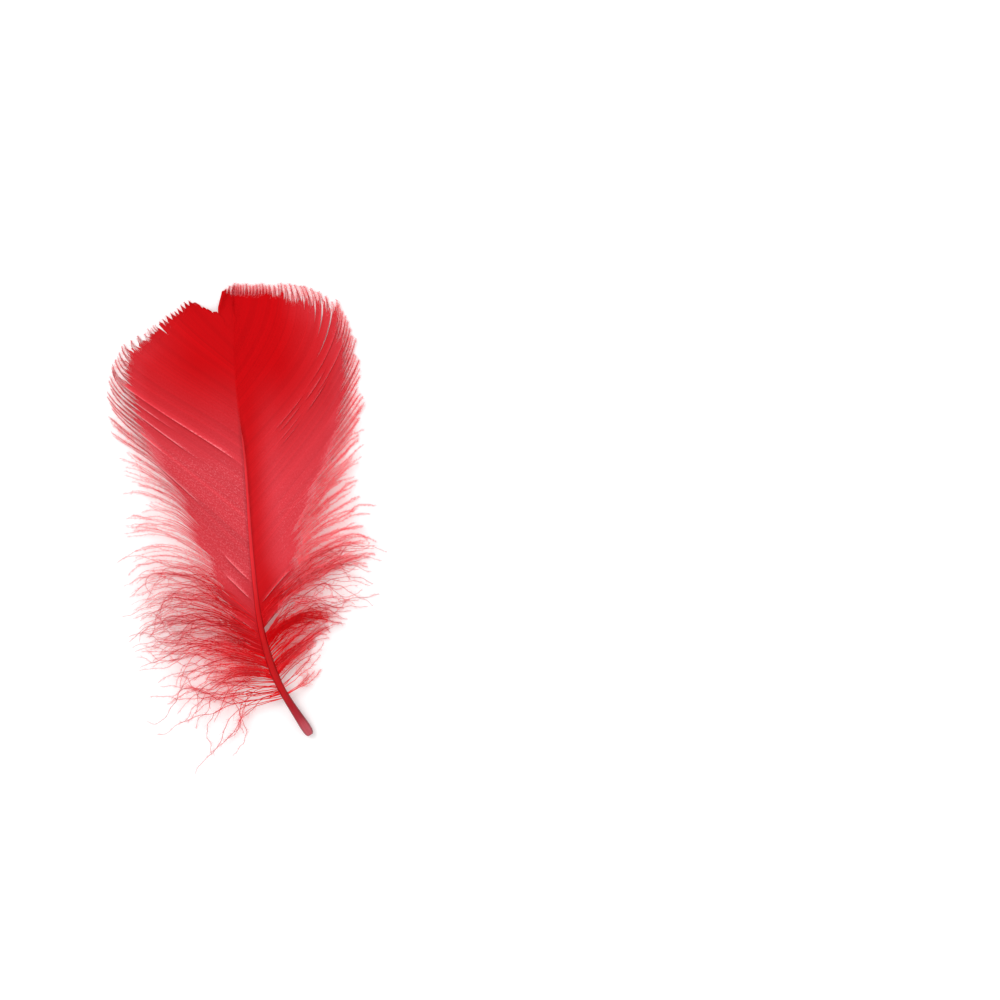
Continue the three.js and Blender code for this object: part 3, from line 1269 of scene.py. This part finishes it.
@dataclass
class Down:
    """The loose downy barbs of one side, lying in even locks and further tufts."""

    plan: BarbPlan
    finish: BarbFinish
    seed: int
    tufts: tuple[Tuft, ...]
    locks: int = 17
    barbs_per_lock: int = 6
    cluster: float = 0.5  # how far the roots of a lock are drawn together
    thin: float = 0.5  # share by which the lowest barbs are thinned
    gap: Span = (0.0, 0.0)  # roots between which only tufts grow
    stations: int = 56
    barbules: int = 150
    barbule_lengths: Span = (1.0, 3.2)
    root_from: float = 9.8
    root_to: float = 29.5
    thin_at: Span = (15.5, 13.0)
    wisps_to: float = 12.5  # root below which barbs lie almost singly
    usual_length: float = 28.0
    tight: float = 0.4  # pull past which a tuft is calm and has barbules from its root
    dense: float = 0.6  # pull past which it is deep red
    lock_wave: float = 14.0
    barb_wave: float = 28.0
    stray: float = 20.0
    lift_to: float = 5.0
    ramus: float = 0.12
    bare: float = 0.2  # share of a barb next to its root that has no barbules

    def build(self) -> bpy.types.Object:
        """Builds the barbs, wavy and gathered in locks, and their barbules.

        Returns:
            The tuft.
        """
        rng = np.random.default_rng(self.seed)
        barbs = self._set_out(rng)
        path = self._lay(barbs, rng)
        strands = Strands()
        self._add_rami(strands, barbs, path, rng)
        self._add_fluff(strands, barbs, path, rng)
        return strands.piece(self.plan.side.name.lower() + "_down_barbs", self.finish.material())

    def _set_out(self, rng: np.random.Generator) -> DownBarbs:
        """Gives the barbs of the locks and the tufts their roots and lengths.

        Args:
            rng: The down's random numbers.

        Returns:
            The barbs.
        """
        plain = self.locks * self.barbs_per_lock
        root = np.linspace(self.root_from, self.root_to, plain) + rng.normal(0, 0.12, plain)
        lock = np.arange(plain) // self.barbs_per_lock
        middle = self.root_from + (self.root_to - self.root_from) * (lock + 0.5) / self.locks
        root = root + (middle - root) * self.cluster
        kept = rng.uniform(0, 1, plain) > self.thin * ease(*self.thin_at, root)
        kept &= (root < self.gap[0]) | (root > self.gap[1])
        root, lock = root[kept], lock[kept]
        pull = np.where(root < self.wisps_to, 0.1, 0.28)
        turn = np.zeros(len(root))
        length = self.plan.guide("length", root)
        for number, tuft in enumerate(self.tufts, self.locks):
            roots = np.linspace(tuft.root - tuft.width / 2, tuft.root + tuft.width / 2, tuft.barbs)
            root = np.append(root, roots)
            length = np.append(length, self.plan.guide("length", roots) * tuft.length)
            lock = np.append(lock, np.full(tuft.barbs, number))
            pull = np.append(pull, np.full(tuft.barbs, tuft.pull))
            turn = np.append(turn, np.full(tuft.barbs, tuft.turn))
        calm = np.where(pull > self.tight, 0.5, 1.0) * np.clip(length / self.usual_length, 0.3, 1.0)
        return DownBarbs(
            root=root,
            lock=lock,
            pull=pull,
            turn=turn[:, None],
            length=length * rng.uniform(0.62, 1.06, len(root)),
            calm=calm[:, None],
            share=np.tile(np.linspace(0, 1, self.stations), (len(root), 1)),
        )

    def _lay(self, barbs: DownBarbs, rng: np.random.Generator) -> Array:
        """Lays the barbs out from the shaft, drawn into their locks.

        Args:
            barbs: The barbs.
            rng: The down's random numbers.

        Returns:
            Their points.
        """
        root, lock, share, calm = barbs.root, barbs.lock, barbs.share, barbs.calm
        count, groups = len(root), self.locks + len(self.tufts)
        heading = self.plan.heading(root, share)
        heading = heading + waves(rng, groups, share[:1], self.lock_wave)[lock] * share * calm
        heading = heading + waves(rng, count, share[:1], self.barb_wave) * share**0.6 * calm
        heading = heading + rng.normal(0, self.stray, (count, 1)) * share * calm + barbs.turn * share**1.3
        path = self.plan.walk(root, barbs.length, share, heading)
        path = gathered(path, lock, barbs.pull[:, None] * np.sin(math.pi * np.clip(share, 0, 0.75) ** 0.8))
        # Locks stand up from the sheet by different heights
        lift = rng.uniform(0.0, 4.6, groups)[lock] + rng.normal(0, 0.8, count)
        lift = np.clip(lift, 0.0, self.lift_to)[:, None]
        root_height = self.plan.line.point(root)[:, 2][:, None]
        path[..., 2] = self.plan.camber(root, share) * 0.8 + root_height * 0.2 * (1 - share)
        path[..., 2] += lift * share**1.3 + 0.15
        return path

    def _add_rami(
        self, strands: Strands, barbs: DownBarbs, path: Array, rng: np.random.Generator
    ) -> None:
        """Adds the barbs' own shafts.

        Args:
            strands: Where they are gathered.
            barbs: The barbs.
            path: Their points.
            rng: The down's random numbers.
        """
        share, column = barbs.share, (len(barbs.root), 1)
        wide = self.ramus * (1 - 0.7 * share)
        dye_and_sheen = np.clip(0.05 + 0.3 * share * barbs.calm + rng.normal(0, 0.08, column), 0, 1)
        tone = np.where(barbs.pull > self.dense, 1.18, 1.14)[:, None]
        tone = tone + rng.normal(0, 0.08, column) - 0.42 * share
        values = strand_values(dye_and_sheen, tone, barbs.length[:, None] * share, barbs.root[:, None])
        strands.add_tubes(path, wide, wide, np.zeros_like(wide), 3, values)

    def _add_fluff(
        self, strands: Strands, barbs: DownBarbs, path: Array, rng: np.random.Generator
    ) -> None:
        """Adds the barbules, which start further out where the locks lie apart.

        Args:
            strands: Where they are gathered.
            barbs: The barbs.
            path: Their points.
            rng: The down's random numbers.
        """
        root, pull = barbs.root, barbs.pull
        row = np.repeat(np.arange(len(root)), self.barbules)
        place = rng.uniform(0.03, 0.99, len(row))
        bare = self.bare + 0.2 * ease(19.0, 25.0, root) + 0.2 * ease(16.0, 13.0, root)
        bare = np.where(pull > self.tight, 0.0, bare)
        grown = place > bare[row]
        row, place = row[grown], place[grown]
        out = place * barbs.length[row] / self.usual_length
        pale = np.where(pull > self.dense, 0.05, 0.85)[row] * (0.15 + 0.85 * ease(0.05, 0.5, out))
        strands.add_barbules(path, row, place, self.barbule_lengths, pale, 1.15 - 0.16 * pale, rng)


@dataclass
class Shaft:
    """The bare quill and the rachis, in one piece, with the small hollow in the quill's cut end."""

    line: ShaftLine
    finish: HornFinish
    sides: int = 20
    rings: int = 150
    crowd: float = 1.25  # how much the rings crowd towards the quill
    girth: float = 6.0  # of the quill, which the streaks are spaced round
    pit_depth: float = 1.2
    pit_radius: float = 0.5
    tip_length: float = 0.4
    tip_radius: float = 0.03

    def _matrix(self, distance: float, radius: float) -> Matrix:
        """Gives the place of a section.

        Args:
            distance: From the quill end.
            radius: Of the section.

        Returns:
            A matrix from a unit circle to the section, in metres.
        """
        where = np.array([distance])
        point = Vector(self.line.point(where)[0]) * MM
        forward = Vector(self.line.forward(where)[0])
        right = Vector(self.line.right(where)[0])
        rise = right.cross(forward)
        turn = Matrix((right, rise, forward)).transposed().to_4x4()
        return Matrix.Translation(point) @ turn @ Matrix.Scale(radius * MM, 4)

    def _sections(self) -> list[Span]:
        """Gives the sections from the bottom of the pit, over the quill's rim and on to the tip.

        Returns:
            Distances from the quill end with their radii.
        """
        steps = np.linspace(0, 1, self.rings) ** self.crowd * (self.line.length - self.tip_length)
        pit = [(self.pit_depth, 0.12), (self.pit_depth * 0.7, 0.36), (0.05, self.pit_radius)]
        body = [(float(step), float(self.line.radius(step))) for step in steps]
        return [*pit, *body, (self.line.length, self.tip_radius)]

    def build(self) -> bpy.types.Object:
        """Extrudes a circle along the shaft's line, from the pit in the quill end to the tip.

        Returns:
            The shaft.
        """
        bm = bmesh.new()
        along, around, edge = (bm.verts.layers.float.new(name) for name in ("along", "around", "edge"))
        sections = self._sections()
        place = self._matrix(*sections[0])
        circle = bmesh.ops.create_circle(bm, cap_ends=True, segments=self.sides, radius=1.0, matrix=place)
        # Edge is how far to the side a point lies as seen from above, where the horn gets painted shade
        for number, vert in enumerate(circle["verts"]):
            vert[along] = sections[0][0]
            vert[around] = number / self.sides * self.girth
            vert[edge] = abs(math.sin(number / self.sides * 2 * math.pi))
        rim = [item for item in bm.edges if item.is_boundary]
        for distance, radius in sections[1:]:
            after = self._matrix(distance, radius)
            grown = bmesh.ops.extrude_edge_only(bm, edges=rim)["geom"]
            verts = [item for item in grown if isinstance(item, bmesh.types.BMVert)]
            rim = [item for item in grown if isinstance(item, bmesh.types.BMEdge) and item.is_boundary]
            bmesh.ops.transform(bm, matrix=after @ place.inverted(), verts=verts)
            for vert in verts:
                vert[along] = distance
            place = after
        bmesh.ops.edgeloop_fill(bm, edges=rim)
        bmesh.ops.recalc_face_normals(bm, faces=bm.faces)
        mesh = bpy.data.meshes.new("shaft_horn")
        bm.to_mesh(mesh)
        bm.free()
        mesh.polygons.foreach_set("use_smooth", np.ones(len(mesh.polygons), dtype=bool))
        mesh.materials.append(self.finish.material())
        return add_object("shaft_horn", mesh)


@dataclass
class Studio:
    """A white sheet, an even sky, a soft lamp from the left and a camera straight above."""

    finish: SheetFinish
    half_width: float = 3.0
    view_centre: Span = (55.5, 5.0)
    view_width: float = 218.0
    lens: float = 180.0
    sensor: float = 36.0
    clip_start: float = 0.01
    sky: float = 0.85
    key_watts: float = 3.2
    key_place: tuple[float, float, float] = (-0.45, 0.3, 0.75)
    key_size: float = 0.5
    bounces: int = 32
    diffuse_bounces: int = 24

    def build(self) -> None:
        """Lays the sheet, hangs the light and sets the camera."""
        bm = bmesh.new()
        bmesh.ops.create_grid(bm, x_segments=1, y_segments=1, size=self.half_width)
        mesh = bpy.data.meshes.new("card")
        bm.to_mesh(mesh)
        bm.free()
        mesh.materials.append(self.finish.material())
        card = add_object("card", mesh)
        self._light()
        self._camera()

    def _light(self) -> None:
        """Sets a pale even sky and one large soft lamp, whose light passes through many fibres."""
        scene = bpy.context.scene
        world = bpy.data.worlds.new("pale_sky")
        scene.world = world
        world.use_nodes = True
        sky = world.node_tree.nodes["Background"]
        sky.inputs["Color"].default_value = (1.0, 1.0, 1.0, 1.0)
        sky.inputs["Strength"].default_value = self.sky
        lamp = bpy.data.lights.new("key", "AREA")
        lamp.energy = self.key_watts
        lamp.size = self.key_size
        key = add_object("key", lamp)
        key.location = self.key_place
        key.rotation_euler = (-Vector(self.key_place)).to_track_quat("-Z", "Y").to_euler()
        scene.view_settings.view_transform = "Standard"
        scene.cycles.max_bounces = self.bounces
        scene.cycles.diffuse_bounces = self.diffuse_bounces

    def _camera(self) -> None:
        """Sets the camera straight above the middle of the view."""
        data = bpy.data.cameras.new("camera")
        data.lens = self.lens
        data.sensor_width = self.sensor
        data.clip_start = self.clip_start
        camera = add_object("camera", data)
        height = self.view_width * self.lens / self.sensor
        camera.location = (self.view_centre[0] * MM, self.view_centre[1] * MM, height * MM)
        bpy.context.scene.camera = camera


WEB_FINISH = BarbFinish(
    name="dyed_web",
    deep="ca030b",
    rosy="de434d",
    pale="ee747c",
    grain_mm=0.36,
    grain_share=0.3,
    roughness=0.6,
    through=0.12,
)
LOOSE_FINISH = BarbFinish(
    name="dyed_down",
    deep="e80814",
    rosy="ff8a94",
    pale="ffb0b8",
    grain_mm=1.5,
    grain_share=0.08,
    roughness=0.7,
    through=0.5,
)
LEFT_SLITS = (
    Slit(61.3, 0.0, 0.06, 0.5),
    Slit(58.6, 0.42, 0.06, 0.4),
    Slit(55.2, 0.3, 0.08, 0.5),
    Slit(49.5, 0.5, 0.08, 0.3),
    Slit(43.6, 0.3, 0.1, 0.45),
    Slit(79.1, 0.8, 0.7, 0.05),
    Slit(35.8, 0.0, 0.06, 0.5, 0.26),
    Slit(31.5, 0.0, 0.1, 0.8, 0.28, 0.5),
    Slit(24.6, 0.0, 0.12, 0.8, 0.34, 0.6),
)
RIGHT_SLITS = (
    Slit(61.9, 0.2, 0.05, 0.32, 0.5),
    Slit(62.4, 0.46, 0.06, 0.35),
    Slit(60.3, 0.46, 0.05, 0.4, 0.68),
    Slit(60.6, 0.24, 0.05, 0.28, 0.46),
    Slit(58.3, 0.5, 0.06, 0.3),
    Slit(57.3, 0.46, 0.05, 0.4, 0.68),
    Slit(58.6, 0.22, 0.04, 0.22, 0.46),
    Slit(57.0, 0.24, 0.04, 0.22, 0.44),
    Slit(65.0, 0.6, 0.3, 0.2),
    Slit(67.2, 0.68, 0.4, 0.2),
    Slit(69.2, 0.74, 0.4, 0.15),
    Slit(72.0, 0.78, 0.4, 0.1),
    Slit(76.0, 0.8, 0.35, 0.1),
    Slit(30.7, 0.0, 0.1, 0.8, 0.36, 0.5),
    Slit(25.9, 0.0, 0.06, 0.8, 0.34, 0.6),
)
LEFT_CURLS = (
    Curl(30.0, 0.0, 0.0),
    Curl(36.0, 12.0, 6.0),
    Curl(42.0, 8.0, 0.0),
    Curl(48.0, 5.0, -10.0),
    Curl(55.0, 4.0, -26.0),
    Curl(62.0, 0.0, -42.0),
    Curl(74.0, -4.0, -38.0),
    Curl(80.0, 0.0, -10.0),
)
RIGHT_CURLS = (
    Curl(48.0, 0.0, 0.0),
    Curl(58.0, 0.0, -10.0),
    Curl(66.0, 0.0, -14.0),
    Curl(74.0, 0.0, -4.0),
)
LEFT_TUFTS = (
    Tuft(23.5, 2.0, 10, 0.55),
    Tuft(18.0, 1.6, 8, 0.55),
    Tuft(19.5, 9.0, 26, 0.1, 0.45),
    Tuft(11.5, 3.0, 7, 0.0, 0.85, 90.0),
    Tuft(14.9, 1.9, 6, 0.0, 1.4, 40.0),
    Tuft(11.8, 1.8, 8, 0.0, 1.06, -6.0),
    Tuft(15.2, 1.4, 5, 0.0, 1.6, 12.0),
)
RIGHT_TUFTS = (
    Tuft(22.4, 2.4, 26, 0.65, 0.6),
    Tuft(16.0, 2.6, 11, 0.42, 0.95),
    Tuft(28.0, 1.6, 6, 0.5),
    Tuft(20.0, 9.0, 14, 0.1, 0.5),
    Tuft(28.4, 2.6, 8, 0.05),
    Tuft(26.8, 1.2, 10, 0.0, 0.95, 22.0),
    Tuft(24.0, 0.6, 5, 0.0, 0.9, -14.0),
)


def main() -> None:
    """Builds the feather and the studio, and reports each piece."""
    logging.basicConfig(level=logging.INFO, format="%(message)s")
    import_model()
    line = ShaftLine()
    left = BarbPlan(line, Side.LEFT, LEFT_GUIDES)
    right = BarbPlan(line, Side.RIGHT, RIGHT_GUIDES)
    left_vane = Vane(
        left,
        WEB_FINISH,
        LOOSE_FINISH,
        LEFT_SLITS,
        LEFT_CURLS,
        seed=11,
        root_from=20.0,
        locks=(4, 6),
        teeth=1.0,
        light=1.0,
        rosy=0.95,
        rosy_near=0.9,
        rosy_until=5.0,
        rosy_edge=0.15,
        fluff=0.7,
        crown_locks=(2, 3),
        bite=Bite(),
    )
    right_vane = Vane(
        right,
        WEB_FINISH,
        LOOSE_FINISH,
        RIGHT_SLITS,
        RIGHT_CURLS,
        seed=12,
        root_from=25.7,
        locks=(3, 5),
        teeth=0.65,
        light=1.09,
        rosy=0.7,
        rosy_near=0.15,
        rosy_until=7.0,
        rosy_edge=0.25,
        fluff=1.9,
    )
    left_down = Down(left, LOOSE_FINISH, 13, LEFT_TUFTS, thin=0.72)
    right_down = Down(
        right, LOOSE_FINISH, 14, RIGHT_TUFTS, locks=12, barbs_per_lock=5, cluster=0.3, gap=(24.1, 26.2)
    )
    left_web, left_fringe = left_vane.build()
    right_web, right_fringe = right_vane.build()
    pieces = (
        (Shaft(line, HornFinish()).build(), "shaft", "quill"),
        (left_web, "left_vane", "web"),
        (left_fringe, "left_vane", "web"),
        (right_web, "right_vane", "web"),
        (right_fringe, "right_vane", "web"),
        (left_down.build(), "left_down", "down"),
        (right_down.build(), "right_down", "down"),
    )
    for piece, node, slot in pieces:
        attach(piece, "root")
        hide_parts(node)
        piece.data.calc_loop_triangles()
        LOG.info("%s: %d triangles, stands for %s", piece.name, len(piece.data.loop_triangles), node)
    Studio(SheetFinish()).build()


if __name__ == "__main__":
    main()
